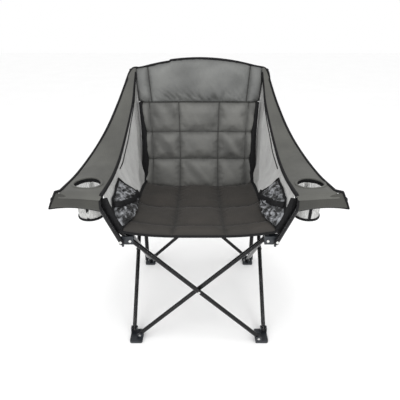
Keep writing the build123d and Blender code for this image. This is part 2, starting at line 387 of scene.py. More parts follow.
def steel_material(name):
    """Gloss black stove enamel on steel tube: a clear, slightly rippled coat with fine scuffs."""
    material, tree, shader = node_material(name, {"Specular IOR Level": 0.24})
    scuffs = noise_value(tree, 160, 5, rough=0.7)
    colour_and_gloss(tree, shader, scuffs, (0.003, 0.003, 0.0035), (0.009, 0.009, 0.010), (0.05, 0.13))
    add_bump(tree, shader, [(noise_value(tree, 90, 2), 0.04, 0.0004), (scuffs, 0.03, 0.0002)])
    return material


def plastic_material(name):
    """Moulded black plastic: a fine spark-eroded grain and paler, rubbed patches."""
    material, tree, shader = node_material(name, {})
    rubbed = noise_value(tree, 60, 5)
    colour_and_gloss(tree, shader, rubbed, (0.006, 0.008, 0.011), (0.020, 0.024, 0.030), (0.42, 0.62))
    add_bump(tree, shader, [(noise_value(tree, 1400, 2), 0.35, 0.0003)])
    return material


def rivet_material(name):
    """Zinc-plated steel: bright, with fine turning marks and dull spots."""
    material, tree, shader = node_material(name, {"Metallic": 1.0})
    spots = noise_value(tree, 300, 4)
    colour_and_gloss(tree, shader, spots, (0.42, 0.42, 0.41), (0.75, 0.75, 0.74), (0.22, 0.42))
    add_bump(tree, shader, [(noise_value(tree, 900, 2), 0.2, 0.0002)])
    return material


steel = steel_material("black_enamelled_steel")
plastic = plastic_material("black_moulded_plastic")
zinc = rivet_material("zinc_plated_rivets")
# One fabric in several tones: the differences are partly the pieces' own tone and partly painted light and
# shade, the headrest lighter, the back less so, the seat darker and browner
head_cloth = cloth_material("headrest_cloth", linear(95, 96, 95), linear(112, 113, 111))
back_cloth = cloth_material("back_cloth", linear(90, 90, 88), linear(106, 106, 103))
seat_cloth = cloth_material("seat_cloth", linear(40, 37, 33), linear(49, 45, 41))
# Painted shade: the arm cloth made darker for the sleeves' forward-facing fronts
shaded_front_cloth = cloth_material("arm_front_shaded_cloth", linear(46, 46, 43), linear(56, 56, 52))
arm_cloth = cloth_material("arm_cloth", linear(70, 70, 67), linear(82, 82, 78))
thread = webbing_material("stitching_thread", linear(46, 46, 45), linear(66, 66, 64))
binding = webbing_material("black_binding", linear(10, 10, 11), linear(24, 24, 26))
pale_mesh = mesh_material("pale_mesh", linear(148, 148, 146), linear(168, 168, 166), 0.5)
cup_mesh = mesh_material("cup_mesh", linear(178, 178, 176), linear(196, 196, 194), 0.3)
dark_mesh = mesh_material("dark_mesh", linear(12, 13, 15), linear(158, 160, 164), 0.82, crumple=1.0,
                          patch=52, limits=(0.46, 0.68))

SLOT_MATERIALS = {"black_steel": steel, "black_plastic": plastic, "rivet_steel": zinc}
for part in frame["record"]["subparts"]:
    chosen = SLOT_MATERIALS.get(part["material_slot"])
    if chosen is not None:
        cad_mesh = nodes[part["node"]].data
        cad_mesh.materials.clear()
        cad_mesh.materials.append(chosen)


# Quilted pads

SEAM_REACH = 0.009  # how far from a seam its painted shade fades
# Painted shade: how dark the seams and the valleys of the gathers are painted
SEAM_SHADE_STRENGTH = 0.8
VALLEY_SHADE_STRENGTH = 0.55
VALLEY_DEPTH = 0.003  # a gather this deep gets the full painted shade
PRESSURE = 4.0
FRAMES = 20


def seam_shade_falloff(places, seams):
    """Painted seam shade: 1 on a seam, falling to 0 a centimetre or two away."""
    far = np.min(np.abs(places[:, None] - np.array(seams)[None]), axis=1)
    return np.exp(-(far / SEAM_REACH) ** 1.3)


def press_gathers(piece, points, heights, seam_shade_mask):
    """Raise the front layer by its gathers, and store painted shade at the seams and in the gathers'
    valleys.
    """
    count = heights.size
    verts = np.array([v.co for v in piece.data.vertices])
    verts[:count] += (grid_normals(points) * heights[..., None]).reshape(-1, 3)
    piece.data.vertices.foreach_set("co", verts.ravel())
    piece.data.update()
    valley_shade = VALLEY_SHADE_STRENGTH * np.clip(-heights / VALLEY_DEPTH, 0, 1)
    # painted shade for the seams and the gathers' valleys, kept in the seam attribute
    seam = piece.data.attributes.new("seam", "FLOAT", "POINT")
    near = SEAM_SHADE_STRENGTH * seam_shade_mask
    values = np.concatenate([np.maximum(near, valley_shade).ravel(), near.ravel()])
    seam.data.foreach_set("value", values)


def line_positions(seams, step):
    """Sample places along one direction that land on every seam, with their seam flags."""
    places, flags = [], []
    for low, high in zip(seams, seams[1:]):
        count = max(2, round((high - low) / step))
        for k in range(count):
            places.append(low + (high - low) * k / count)
            flags.append(k == 0)
    return np.array(places + [seams[-1]]), np.array(flags + [True])


def cell_swell(places, seams):
    """0 on the seams and 1 in the middle of each cell."""
    swell = np.zeros(len(places))
    for low, high in zip(seams, seams[1:]):
        inside = (places >= low) & (places <= high)
        s = (places[inside] - low) / (high - low)
        swell[inside] = np.maximum(0, 1 - np.abs(2 * s - 1) ** 2.6)
    return np.sqrt(swell)


def inflate(piece, pinned, growth, cap):
    """Blow the piece up as cloth held at its seams, then keep the result as its mesh. growth is the
    cloth's spare size, and cap is near the most that a point moves."""
    scene = bpy.context.scene
    start = np.array([v.co for v in piece.data.vertices])
    group = piece.vertex_groups.new(name="seams")
    group.add([int(i) for i in np.nonzero(pinned)[0]], 1.0, "REPLACE")
    cloth = piece.modifiers.new("cloth", "CLOTH")
    settings = cloth.settings
    settings.quality = 6
    settings.mass = 0.25
    settings.tension_stiffness = settings.compression_stiffness = 18
    settings.shear_stiffness = 6
    settings.bending_stiffness = 0.4
    settings.use_pressure = True
    settings.uniform_pressure_force = PRESSURE
    settings.shrink_min = -growth
    settings.vertex_group_mass = "seams"
    settings.effector_weights.gravity = 0
    cloth.point_cache.frame_start = 1
    cloth.point_cache.frame_end = FRAMES
    for step in range(1, FRAMES + 1):
        scene.frame_set(step)
    graph = bpy.context.evaluated_depsgraph_get()
    shaped = piece.evaluated_get(graph).to_mesh()
    end = np.array([v.co for v in shaped.vertices])
    piece.modifiers.remove(cloth)
    piece.vertex_groups.remove(group)
    scene.frame_set(1)
    moved = end - start
    far = np.linalg.norm(moved, axis=1, keepdims=True)
    moved *= cap * np.tanh(far / cap) / np.maximum(far, 1e-9)
    piece.data.vertices.foreach_set("co", (start + moved).ravel())
    piece.data.update()


def quilt(name, surface, u_seams, v_seams, puff, rear_puff, material, growth, cap, gathers,
          step=0.0075, v_length=1.0):
    """A sewn pad over surface(u, v): it swells between the seams and is pinched at them. gathers(u, v)
    is the height of its small folds, and v_length is the length in metres of one unit of v."""
    us, u_flags = line_positions(u_seams, step)
    vs, v_flags = line_positions(v_seams, step / v_length)
    points = np.array([[surface(u, v) for u in us] for v in vs])
    swell = np.outer(cell_swell(vs, v_seams), cell_swell(us, u_seams))
    piece = two_sided(name, points, STITCH + puff * swell, STITCH + rear_puff * swell, material)
    pinned = v_flags[:, None] | u_flags[None, :]
    inflate(piece, np.tile(pinned.ravel(), 2), growth, cap)
    heights = np.array([[gathers(u, v) for u in us] for v in vs]) * np.minimum(1, 2.5 * swell)
    # painted shade near every seam, across and along
    seam_shade_mask = np.maximum(seam_shade_falloff(us, u_seams)[None, :],
                          seam_shade_falloff(vs * v_length, np.array(v_seams) * v_length)[:, None])
    press_gathers(piece, points, heights, seam_shade_mask)
    return smoothed(piece)


def seam_thread(name, surface, fixed, along, direction, lift):
    """A line of stitching on a pad's front, along u or v."""
    values = np.linspace(*along, 60)
    line = [surface(value, fixed) if direction == "u" else surface(fixed, value) for value in values]
    return ribbon(name, np.array(line) + np.array(lift), 0.0030, 0.0020, lift, thread)


# The back and the headrest

BACK_HALF = 0.246
HEAD_HALF = 0.262
FLANGE = 0.205  # where the flat side strips begin
COLUMN = 0.084  # the seams beside the middle column
PAD_MIDDLE = 0.012
TURN_BACK = 0.024
HOLLOW, HOLLOW_TOP = 0.010, 0.56
WAIST = 0.010
HEAD_TAPER = 0.055
BELOW_CREASE = 0.020
CORNER_Z, APEX_Z = 0.940, head_high.z - 0.004
STEP_X, STEP = -0.114, 0.004
SEAM_HEIGHT = (back_high.z - back_low.z) / math.cos(LEAN)
BACK_COLUMNS = [-BACK_HALF, -FLANGE, -COLUMN, COLUMN, FLANGE, BACK_HALF]
BACK_ROWS = [-BELOW_CREASE] + [SEAM_HEIGHT * share for share in (0.33, 0.655, 1)]
HEAD_COLUMNS = [-HEAD_HALF, -FLANGE, FLANGE, HEAD_HALF]
FRONT_LIFT = np.array([0, -math.cos(LEAN), math.sin(LEAN)]) * 0.0042


def back_surface(x, height):
    """The back's middle surface: it leans, sags between the posts and turns back to them at its edges."""
    y = back_low.y + PAD_MIDDLE + height * math.sin(LEAN)
    hollow = HOLLOW * (1 - (x / BACK_HALF) ** 2) * math.sin(math.pi * min(1, height / HOLLOW_TOP))
    edge = min(1, max(0, (abs(x) - FLANGE) / (BACK_HALF - FLANGE)))
    return (x, y + hollow + TURN_BACK * edge ** 2, back_low.z + height * math.cos(LEAN))


def back_half_width(height):
    """Half the back's width: a little narrower at the waist."""
    return BACK_HALF - WAIST * math.sin(math.pi * height / SEAM_HEIGHT)


def back_pad_surface(u, v):
    """The back from the crease, v 0, to the headrest seam."""
    return back_surface(u * back_half_width(v) / BACK_HALF, v)


def head_top(x):
    """Height of the headrest's arched top edge, with the small step where its binding overlaps."""
    arch = CORNER_Z + (APEX_Z - CORNER_Z) * max(0, 1 - (abs(x) / HEAD_HALF) ** 2.0)
    return arch - STEP * (x < STEP_X)


def headrest_surface(u, v):
    """The headrest from its seam, v 0, to its arched top edge, v 1."""
    top = (head_top(u) - TAPE / 2 - back_low.z) / math.cos(LEAN)
    height = SEAM_HEIGHT + v * (top - SEAM_HEIGHT)
    return back_surface(u * (1 - HEAD_TAPER * (1 - v)), height)


def head_gathers(u, v):
    """Short upright gathers above the headrest's seam, longer ones at its sides."""
    ridge = abs(noise.noise(Vector((u * 46 + v * 7, v * 2.5, 1.7))))
    slack = noise.noise(Vector((u * 9, v * 2, 4)))
    return 0.028 * math.exp(-v / 0.12) * (0.16 - ridge) + 0.004 * slack


def back_gathers(u, v):
    """Slanting creases in the back's cells, strongest under the headrest seam."""
    slant = abs(noise.noise(Vector((u * 15 + v * 10, v * 6, 3.1))))
    return (0.14 - slant) * (0.007 + 0.012 * math.exp((v - SEAM_HEIGHT) / 0.03))


def pillow_threads():
    """The double seams at the headrest's sides."""
    places = [side * (FLANGE + offset) for side in SIDES.values() for offset in (0, 0.012)]
    return [seam_thread("pillow_thread", headrest_surface, place, (0.02, 0.97), "v", FRONT_LIFT * 1.2)
            for place in places]


def back_bindings():
    """The binding over the arched top and down both sides, widest at the crease."""
    top = [headrest_surface(x, 1) for x in np.linspace(-HEAD_HALF, HEAD_HALF, 120)]
    parts = [ribbon("top_binding", top, 0.010, 0.010, (0, -1, 0), binding)]
    for side in SIDES.values():
        lower = [np.array(back_pad_surface(side * (BACK_HALF - 0.006), h)) + 4.2 * FRONT_LIFT
                 for h in np.linspace(-BELOW_CREASE, SEAM_HEIGHT, 40)]
        upper = [headrest_surface(side * HEAD_HALF, v) for v in np.linspace(0, 1, 24)]
        facing = (side * 0.3, -1, 0)
        parts.append(ribbon("edge_sleeve", lower, np.linspace(0.040, 0.014, 40), 0.016, facing, binding))
        parts.append(ribbon("edge_binding", upper, 0.012, 0.008, facing, binding))
    return parts


def back_trim():
    """The back's and the headrest's stitching and binding as one piece."""
    parts = [seam_thread("row_thread", back_pad_surface, seam, (-BACK_HALF, BACK_HALF), "u", FRONT_LIFT)
             for seam in BACK_ROWS[1:]]
    parts += [seam_thread("column_thread", back_pad_surface, seam, (-BELOW_CREASE, SEAM_HEIGHT), "v",
                          FRONT_LIFT) for seam in BACK_COLUMNS[1:-1]]
    return joined("back_trim", parts + pillow_threads() + back_bindings())


back = quilt("back_quilt", back_pad_surface, BACK_COLUMNS, BACK_ROWS, 0.015, 0.005,
             back_cloth, 0.04, 0.009, back_gathers)
head = quilt("headrest_pillow", headrest_surface, HEAD_COLUMNS, [0, 1], 0.012, 0.005,
             head_cloth, 0.02, 0.009, head_gathers, step=0.0055, v_length=0.16)
trim = back_trim()


# The seat, in two halves that fold on each other

SEAT_HALF = 0.240
SEAT_REAR_HALF, CORNER_SPREAD, SPREAD_FROM = 0.236, 0.026, 0.17
SEAT_EDGE_Z, CREASE_Z = 0.503, 0.447
SEAT_MIDDLE = 0.002
LIP_DROP, LIP_LENGTH = 0.006, 0.04
SEAT_FOLD = seat_high.y
SEAT_END = seat_rear_high.y + 0.022
SEAT_COLUMNS = [-1, -COLUMN / SEAT_HALF, COLUMN / SEAT_HALF, 1]
FRONT_ROWS = [seat_low.y, seat_low.y + 0.062, SEAT_FOLD]
REAR_ROWS = [SEAT_FOLD, SEAT_END]
SEAT_LIFT = np.array([0, 0, 0.0032])
STRAP_IN = 0.012


def seat_half_width(y):
    """Half the seat's width: wider where its front corners reach the hubs."""
    forward = max(0, -y - SPREAD_FROM) / (-seat_low.y - SPREAD_FROM)
    return SEAT_REAR_HALF + CORNER_SPREAD * forward ** 3


def seat_surface(u, y):
    """The seat's middle surface: it slopes to the crease and rises to its side edges. u is -1 to 1."""
    share = (y - seat_low.y) / (seat_rear_high.y - seat_low.y)
    sag = seat_high.z + share * (CREASE_Z - seat_high.z) - SEAT_MIDDLE
    lip = LIP_DROP * max(0, 1 - (y - seat_low.y) / LIP_LENGTH) ** 2
    x = u * seat_half_width(y)
    edge = SEAT_EDGE_Z + 0.012 * (1 - share) - 0.028 * max(0, share) ** 2
    return (x, y, sag - lip + (edge - sag) * abs(u) ** (3.2 + 6 * max(0, share)))


def seat_creases(u, v):
    """Faint slack across the seat, stronger towards its sides."""
    return 0.004 * noise.noise(Vector((u * 7, v * 11, 8.2))) * (0.4 + 2.4 * abs(u))


def seat_quilt(name, rows):
    """One half of the seat as a quilt between two places along the chair."""
    scale = seat_half_width(0)
    columns = [column * scale for column in SEAT_COLUMNS]
    return quilt(name, lambda u, v: seat_surface(u / scale, v), columns, rows, 0.011, 0.007,
                 seat_cloth, 0.02, 0.006, seat_creases)


def corner_straps(name, y, middle, end, width):
    """A flat strap on each side, from the seat's edge through a middle point to its end, which are
    given for the right side."""
    parts = []
    for side in SIDES.values():
        points = [seat_surface(side * 0.97, y)] + [(side * a, b, c) for a, b, c in (middle, end)]
        parts.append(ribbon(name, curve_points(points, 12), width, 0.003, SKY, binding))
    return parts


def front_extras():
    """The front half's bound lip, its cross seam and its straps to the hubs."""
    lip = [seat_surface(u, seat_low.y) for u in np.linspace(-1, 1, 60)]
    parts = [ribbon("seat_lip", lip, 0.008, 0.007, (0, -1, 0.4), binding),
             seam_thread("seat_row", seat_surface, FRONT_ROWS[1], (-1, 1), "u", SEAT_LIFT)]
    _, y, z = seat_surface(0.97, seat_low.y + STRAP_IN)
    hub_top = (hub_low.x + 0.022, hub_low.y + 0.022, hub_high.z + 0.001)
    return parts + corner_straps("corner_strap", y, (0.252, y, z - 0.004), hub_top, 0.020)


def rear_extras():
    """The straps from the rear half's corners to the sliders."""
    slider_top = (0.252, slider_low.y + 0.006, slider_high.z - 0.004)
    return corner_straps("rear_strap", SEAT_END - STRAP_IN, (0.246, 0.215, 0.497), slider_top, 0.022)


def seat_trim(name, rows, extras):
    """One seat half's bound side edges and column seams, and its own extras, as one piece."""
    parts = []
    for side in SIDES.values():
        edge = [seat_surface(side, y) for y in np.linspace(rows[0], rows[-1], 30)]
        parts.append(ribbon("seat_edge", edge, 0.018, 0.009, SKY, binding))
        parts.append(seam_thread("seat_column", seat_surface, side * COLUMN / SEAT_HALF,
                                 (rows[0], rows[-1]), "v", SEAT_LIFT))
    return joined(name, parts + extras())


seat_halves = {"seat_front": seat_quilt("seat_front_quilt", FRONT_ROWS),
               "seat_rear": seat_quilt("seat_rear_quilt", REAR_ROWS)}
seat_trims = {"seat_front": seat_trim("seat_front_trim", FRONT_ROWS, front_extras),
              "seat_rear": seat_trim("seat_rear_trim", REAR_ROWS, rear_extras)}


# The arms. Each station is its place along the chair, its height, and the band's inner and outer edge.

STATIONS = [(0.264, 0.9385, 0.254, 0.264), (0.258, 0.920, 0.256, 0.280), (0.237, 0.870, 0.262, 0.301),
            (0.204, 0.812, 0.268, 0.325), (0.149, 0.738, 0.283, 0.359), (0.088, 0.682, 0.295, 0.391),
            (-0.003, 0.646, 0.300, 0.417), (-0.127, 0.634, 0.301, 0.430), (-0.25, 0.640, 0.302, 0.434),
            (-0.288, 0.640, 0.305, 0.436), (-0.304, 0.629, 0.306, 0.437)]
NARROWER = {-1: 0.0, 1: 0.014}  # how much narrower a band is in its middle
OUTER_RISE, RISE_END = 0.008, 0.294
CROWN, CROWN_WIDTH = 0.010, 0.12  # the band's full crown, where it is this wide or wider
CREASE = 0.005
BAND_UP = np.array([0.3, -0.35, 0.9])  # the way its crown and creases rise, on the right side
BAND_LENGTH, BAND_ACROSS = 76, 22
HALF_THICK = 0.0018
HOLE_STEP = 0.0042
CORNER_TURN = [(0.266, 0.280, 0.937), (0.282, 0.276, 0.921)]  # the binding's way over the post's top
SECTION_POWER = 0.75


def fold_noise(point, scale, seed):
    """Smooth noise, about -1 to 1."""
    return noise.noise(Vector(point) * scale + Vector((seed, 2.3 * seed, 0.7)))


def arm_edges(side, count):
    """The band's inner and outer edges as smooth lines from the back's top corner to the front."""
    inner = curve_points([(side * x, y, z) for y, z, x, _ in STATIONS], count)
    slack = NARROWER[side] * np.sin(np.linspace(0, math.pi, len(STATIONS)))
    outer = curve_points([(side * (x - loss), y, z + OUTER_RISE * max(0, -y / RISE_END) ** 2)
                          for (y, z, _, x), loss in zip(STATIONS, slack)], count)
    return inner, outer


def snap_hole(points, centre):
    """Move the points next to the cup's circle onto it, seen from above."""
    flat = points[..., :2] - np.array(centre)
    far = np.linalg.norm(flat, axis=-1)
    near = np.abs(far - CUP_R) < HOLE_STEP
    points[near, :2] = np.array(centre) + flat[near] / far[near][:, None] * CUP_R


def cut_hole(piece, centre):
    """Remove the faces within the cup's circle, and close the cut between the two layers."""
    bm = bmesh.new()
    bm.from_mesh(piece.data)
    gone = []
    for face in bm.faces:
        x, y, z = face.calc_center_median()
        if math.hypot(x - centre[0], y - centre[1]) < CUP_R - 0.001 and z > CUP_Z - 0.04:
            gone.append(face)
    bmesh.ops.delete(bm, geom=gone, context="FACES")
    bmesh.ops.bridge_loops(bm, edges=[edge for edge in bm.edges if edge.is_boundary])
    bmesh.ops.recalc_face_normals(bm, faces=bm.faces)
    bm.to_mesh(piece.data)
    bm.free()
    piece.data.shade_smooth()


def arm_band(name, side):
    """The arm's padded cloth, one sheet with the cup's hole in it."""
    inner, outer = arm_edges(side, BAND_LENGTH)
    across = np.linspace(0, 1, BAND_ACROSS)
    points = np.array([[a + (b - a) * s for s in across] for a, b in zip(inner, outer)])
    for r in range(BAND_LENGTH):
        full = min(1, np.linalg.norm(outer[r] - inner[r]) / CROWN_WIDTH)
        flatter = 1 - (r / (BAND_LENGTH - 1)) ** 8
        for c, s in enumerate(across):
            crown = CROWN * 4 * s * (1 - s) * full * flatter
            crease = CREASE * fold_noise(points[r, c], 11, side) * math.sin(math.pi * s)
            points[r, c] += BAND_UP * (side, 1, 1) * (crown + crease)
    centre = (side * CUP_X, CUP_Y)
    snap_hole(points, centre)
    thick = np.full(points.shape[:2], HALF_THICK)
    piece = two_sided(name, points, thick, thick, arm_cloth)
    cut_hole(piece, centre)
    return smoothed(piece), points


def loft(name, centres, half_wide, half_deep, material, high=(0, 0, 1), power=SECTION_POWER):
    """A closed tube of rounded sections: the first half size is along high, the second along Y."""
    sides = 28
    verts = []
    for centre, a, b in zip(centres, half_wide, half_deep):
        for k in range(sides):
            h, d = rounded(2 * math.pi * k / sides, power, power)
            verts.append(np.array(centre) + np.array(high) * h * a + np.array([0, 1, 0]) * d * b)
    return outward(add_mesh(name, verts, tube_faces(len(centres), sides), material))


BAR_START = Vector((0.308, BAR_Y, 0.6125))
BAR_END = Vector((0.459, BAR_Y, 0.6270))
SLEEVE_HALF = 0.0225
SLEEVE_DEEP = 0.0115
SLEEVE_DIP = 0.0035
TIP_SLANT = 0.013


def sleeve_section(side, share):
    """Centre, half height and half depth of the front sleeve at a share of its length."""
    centre = BAR_START.lerp(BAR_END, share)
    flare = share ** 5
    waist = math.sin(math.pi * share)
    place = (side * centre.x, centre.y, centre.z + SLEEVE_DIP * waist - 0.002)
    return place, SLEEVE_HALF * (1 - 0.12 * waist + 0.26 * flare), SLEEVE_DEEP * (1 - 0.35 * flare)


def arm_sleeve(name, side):
    """The front sleeve round the arm's bar, its tip slanted outward at the bottom."""
    centres, highs, deeps = zip(*[sleeve_section(side, s) for s in np.linspace(0, 1, 26)])
    piece = loft(name, centres, highs, deeps, shaded_front_cloth)
    for vertex in piece.data.vertices:
        vertex.co.y += 0.0012 * fold_noise(vertex.co, 38, side * 3)
        share = (abs(vertex.co.x) - BAR_START.x) / (BAR_END.x - BAR_START.x)
        below = (BAR_START.lerp(BAR_END, share).z - vertex.co.z) / SLEEVE_HALF
        vertex.co.x += side * TIP_SLANT * max(0, share) ** 4 * below
    return smoothed(piece)


def section_ring(side, share):
    """The sleeve's outline at a share of its length."""
    place, high, deep = sleeve_section(side, share)
    count = 36
    ring = []
    for k in range(count):
        h, d = rounded(2 * math.pi * k / count, SECTION_POWER, SECTION_POWER)
        slant = -side * TIP_SLANT * share ** 4 * h
        ring.append((place[0] + slant, place[1] + d * deep, place[2] + h * high))
    return ring


def arm_trim(name, side):
    """Binding down both edges of the band: the outer one turns over the back's corner and ends on the
    sleeve's tip, and the inner one widens to the front."""
    inner, outer = arm_edges(side, 90)
    corner = [headrest_surface(side * 0.240, 1)] + [(side * x, y, z) for x, y, z in CORNER_TURN]
    place, high, _ = sleeve_section(side, 1)
    tip = [(place[0] - side * TIP_SLANT, place[1], place[2] + high)]
    path = curve_points(np.vstack([corner, outer[6:-4] + np.array([0, 0, 0.002]), tip]), 100)
    facing = (0, -0.5, 1)
    out = ribbon("outer_binding", path, 0.010, 0.008, facing, binding)
    inn = ribbon("inner_binding", inner[2:-2] + np.array([0, 0, 0.001]), np.linspace(0.006, 0.014, 86),
                 0.008, facing, binding)
    return joined(name, [out, inn])


def sleeve_trim(name, side):
    """Binding at the sleeve's two ends and along its bottom."""
    ends = []
    for share in (0.0, 1.0):
        ring = section_ring(side, share)
        middle_z = sleeve_section(side, share)[0][2]
        facing = [(0, y - BAR_Y, z - middle_z) for _, y, z in ring]
        ends.append(ribbon("tip", ring, 0.007, 0.004, facing, binding, closed=True))
    bottom = []
    for share in np.linspace(0, 1, 30):
        place, high, _ = sleeve_section(side, share)
        slant = side * TIP_SLANT * share ** 4
        bottom.append((place[0] + slant, place[1] - 0.002, place[2] - high + 0.001))
    ends.append(ribbon("bottom", bottom, 0.008, 0.005, (0, 0, -1), binding))
    return joined(name, ends)


# Mesh sides, pockets and cups

NETTING_FRONT = -0.284


def side_rails(side, count):
    """The two long edges of the mesh side: the arm's inner edge, and the back's and seat's edges."""
    top, _ = arm_edges(side, count)
    top = curve_points(top[top[:, 1] > NETTING_FRONT] - np.array([0, 0, 0.002]), count)
    down = [back_surface(side * HEAD_HALF * 0.985, 0.48), back_surface(side * 0.248, 0.35),
            back_surface(side * 0.241, 0.22), back_surface(side * 0.240, 0.10)]
    forward = [seat_surface(side, y) for y in (0.15, 0.05, -0.08, -0.20, seat_low.y + 0.012)]
    return top, curve_points(down + forward, count)


def side_panel(name, side):
    """A single layer of netting, ruled between its rails, with slack folds."""
    rows, columns = 70, 26
    top, low = side_rails(side, rows)
    points = np.zeros((rows, columns, 3))
    for r in range(rows):
        for c, s in enumerate(np.linspace(0, 1, columns)):
            place = top[r] + (low[r] - top[r]) * s
            slack = math.sin(math.pi * s)
            fold = 0.009 * fold_noise(place * np.array([1, 1, 0.35]), 16, side * 2)
            points[r, c] = place + np.array([side * (0.006 + fold), 0, -0.3 * fold]) * slack
    piece = add_mesh(name, points.reshape(-1, 3), grid_faces(rows, columns), pale_mesh)
    return smoothed(piece), points


def panel_trim(name, side, points):
    """The thin black seam down the netting near the arm."""
    rows, columns = points.shape[:2]
    near = points[4:rows * 2 // 3, columns // 7] + np.array([-side * 0.001, 0, 0.001])
    return ribbon(name, near, 0.004, 0.003, (-side, -0.5, 0.5), binding)


def strut_webbing(name, side):
    """The broad black tape from the arm's front corner down to the hub."""
    path = curve_points([(side * 0.302, BAR_Y + 0.004, 0.630), (side * 0.282, BAR_Y + 0.006, 0.564),
                         (side * 0.258, BAR_Y + 0.010, 0.500)], 30)
    return ribbon(name, path, np.linspace(0.034, 0.026, 30), 0.0035, (side * 0.25, -1, 0.2), binding)


# The pocket's corners as places along the chair and heights: bottom and mouth, front and rear
POCKET_CORNERS = [[(-0.280, 0.516), (-0.004, 0.508)], [(-0.238, 0.602), (-0.096, 0.611)]]
POCKET_BULGE = 0.024  # how far its wall stands in over the seat
POCKET_BELLY = 0.018  # how far its front edge swells to the strut
RIDGE, FINE_RIDGE = 0.010, 0.005


def netting_x(netting, y, z):
    """How far out the netting is at a place along the chair and a height."""
    far = (netting[:, 1] - y) ** 2 + (netting[:, 2] - z) ** 2
    near = np.argsort(far)[:5]
    weights = 1 / (far[near] + 1e-6)
    return float((np.abs(netting[near, 0]) * weights).sum() / weights.sum())


def pocket_point(netting, side, u, v):
    """A point of the pocket: u runs from the front to the rear and v from its bottom to its mouth."""
    (a, b), (c, d) = [[np.array(p) for p in row] for row in POCKET_CORNERS]
    y, z = (a * (1 - u) + b * u) * (1 - v) + (c * (1 - u) + d * u) * v
    y -= POCKET_BELLY * (1 - u) * math.sin(math.pi * v)
    place = np.array([side * (netting_x(netting, y, z) - 0.004), y, z])
    swell = math.sin(math.pi * u) ** 0.6 * math.sin(math.pi * min(1, v * 1.05)) ** 0.5
    ridge = 1 - 2.4 * abs(fold_noise(place * np.array([1, 1, 1.8]), 40, side * 5))
    fine = 1 - 2.4 * abs(fold_noise(place, 85, side * 7))
    crumple = (RIDGE * ridge + FINE_RIDGE * fine) * min(1, 2 * swell)
    depth = POCKET_BULGE * swell * (1.1 - 0.7 * v) + crumple
    return place + np.array([-side * max(0, depth) * 0.92, -0.2 * depth, 0.22 * depth])


def pocket(name, side, netting):
    """The crumpled mesh bag on the arm's inner side: its wall bulges in over the seat's edge."""
    shares = np.linspace(0, 1, 56)
    points = np.array([[pocket_point(netting, side, u, v) for u in shares] for v in shares])
    faces = grid_faces(len(shares), len(shares))
    return smoothed(add_mesh(name, points.reshape(-1, 3), faces, dark_mesh)), points


def pocket_trim(name, side, netting):
    """Binding round the pocket, and the black band across it."""
    lift = np.array([-side * 0.002, -0.001, 0.001])
    spans = np.linspace(0, 1, 30)
    back_spans = spans[::-1]
    around = [(u, 0) for u in spans] + [(1, v) for v in spans[1:]]
    around += [(u, 1) for u in back_spans[1:]] + [(0, v) for v in back_spans[1:-1]]
    outline = [pocket_point(netting, side, u, v) for u, v in around]
    edge = ribbon("edge", np.array(outline) + lift, 0.010, 0.005, (-side, -0.3, 0.3), binding,
                  closed=True)
    band = [pocket_point(netting, side, s, 0.84 - 0.74 * s) + lift * 3 for s in spans]
    band = curve_points(band[::4] + band[-1:], 30)
    across = ribbon("across", band, 0.020, 0.004, (-side, -0.5, 0.5), binding)
    return joined(name, [edge, across])


CUP_TAPER = 0.88
CUP_DENT = 0.0022
ROUND = 64  # points round the cup


def radial():
    """Directions out from the cup's axis, one for each point of a circle."""
    turns = [2 * math.pi * k / ROUND for k in range(ROUND)]
    return [(math.cos(turn), math.sin(turn), 0) for turn in turns]


def circle(side, radius, height):
    """A circle round the cup's axis."""
    return [(side * CUP_X + radius * x, CUP_Y + radius * y, height) for x, y, _ in radial()]


def cup_body(name, side):
    """The cup's single-layer mesh wall and bottom, sewn under the arm's hole."""
    down, inward = 22, 8
    depths = list(np.linspace(0, 1, down)) + [1] * (inward - 1)
    radii = list(np.linspace(CUP_R - 0.003, CUP_R * CUP_TAPER, down))
    radii += list(np.linspace(CUP_R * CUP_TAPER, 0.001, inward)[1:])
    verts = []
    for depth, radius in zip(depths, radii):
        height = CUP_Z + (cup_low.z + 0.002 - CUP_Z) * depth
        for x, y, _ in radial():
            dent = CUP_DENT * fold_noise((x, y, depth * 1.5), 2.2, side)
            r = radius + dent * math.sin(math.pi * min(1, depth)) * (radius > 0.03)
            verts.append((side * CUP_X + r * x, CUP_Y + r * y, height))
    return add_mesh(name, verts, tube_faces(len(radii), ROUND, capped=False), cup_mesh)


def cup_trim(name, side):
    """The cup's bottom binding and its four upright tapes."""
    base = cup_low.z + 0.004
    parts = [ribbon("base", circle(side, CUP_R * CUP_TAPER + 0.001, base), 0.009, 0.005, radial(),
                    binding, closed=True)]
    for turn in range(4):
        angle = math.pi * (turn / 2 - 0.5)
        out = np.array([math.cos(angle), math.sin(angle), 0])
        centre = np.array([side * CUP_X, CUP_Y, 0])
        path = [centre + out * (CUP_R - 0.001 - (1 - CUP_TAPER) * CUP_R * s)
                + np.array([0, 0, CUP_Z - 0.004 + (base - CUP_Z + 0.004) * s])
                for s in np.linspace(0, 1, 16)]
        parts.append(ribbon("tape", path, 0.011, 0.0025, out, binding))
    return joined(name, parts)


def cloth_height(band_points, x, y):
    """Height of the arm's cloth at a place, from the nearest points of its grid."""
    flat = band_points.reshape(-1, 3)
    near = np.argsort((flat[:, 0] - x) ** 2 + (flat[:, 1] - y) ** 2)[:4]
    return float(flat[near, 2].mean())


